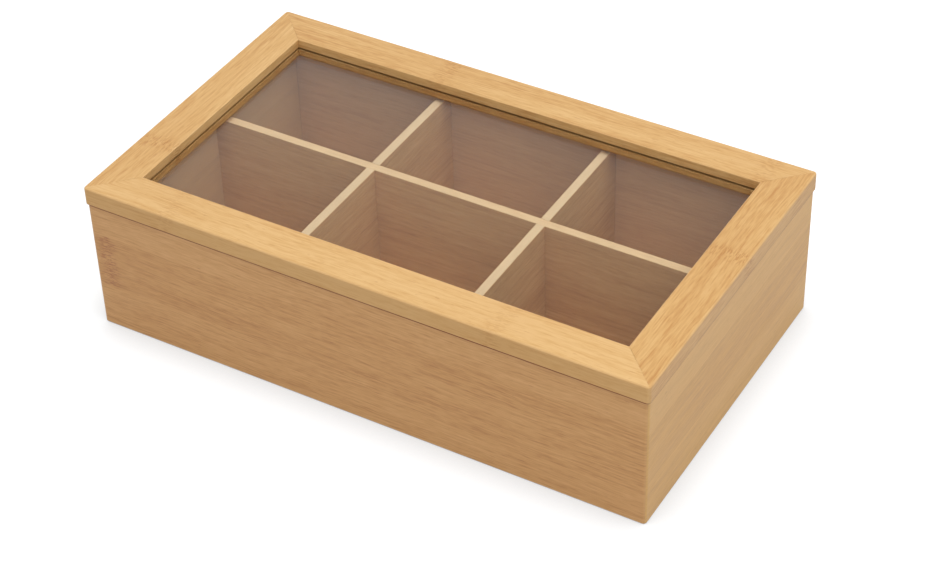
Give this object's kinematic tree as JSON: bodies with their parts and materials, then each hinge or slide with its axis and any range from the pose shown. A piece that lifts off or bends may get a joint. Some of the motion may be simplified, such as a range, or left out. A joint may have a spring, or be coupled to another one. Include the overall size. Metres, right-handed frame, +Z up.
{
  "type": "tea bag organizer box",
  "caption": "Rectangular bamboo box with compartments for tea bags and a hinged lid that frames a clear window.",
  "frame": {"origin": "middle of the box's footprint on its underside, with the hinge knuckles behind the lid left out of the count", "axes": "+X to the right along the long front, +Y from the front to the hinged back, +Z up"},
  "size_m": [0.25, 0.1474, 0.0683],
  "materials": {
    "bamboo_lid": "satin clear lacquer over pale bamboo",
    "bamboo_wall": "satin clear lacquer over bamboo, a little darker on the upright faces",
    "bamboo_inside": "plain sanded bamboo",
    "bamboo_divider": "sanded bamboo strip with pale sawn edges",
    "clear_pane": "clear and polished",
    "brass": "brass plated, lightly brushed",
    "steel_pin": "drawn steel wire"
  },
  "bodies": {
    "box": {"front_panel": "bamboo_wall", "back_panel": "bamboo_wall", "left_panel": "bamboo_wall", "right_panel": "bamboo_wall", "bottom_panel": "bamboo_inside", "long_divider": "bamboo_divider", "cross_divider_left": "bamboo_divider", "cross_divider_right": "bamboo_divider", "hinge_left_wall_leaf": "brass", "hinge_left_pin": "steel_pin", "hinge_right_wall_leaf": "brass", "hinge_right_pin": "steel_pin", "wall_leaf_screws": "brass"},
    "lid": {"lid_front_rail": "bamboo_lid", "lid_back_rail": "bamboo_lid", "lid_left_stile": "bamboo_lid", "lid_right_stile": "bamboo_lid", "window_pane": "clear_pane", "hinge_left_lid_leaf": "brass", "hinge_right_lid_leaf": "brass", "lid_leaf_screws": "brass"}
  },
  "joints": [
    {"name": "lid_hinge", "type": "hinge", "parent": "box", "child": "lid", "pos_m": [0, 0.0724, 0.06015], "axis": [-1, 0, 0], "range_deg": [0, 95]}
  ]
}
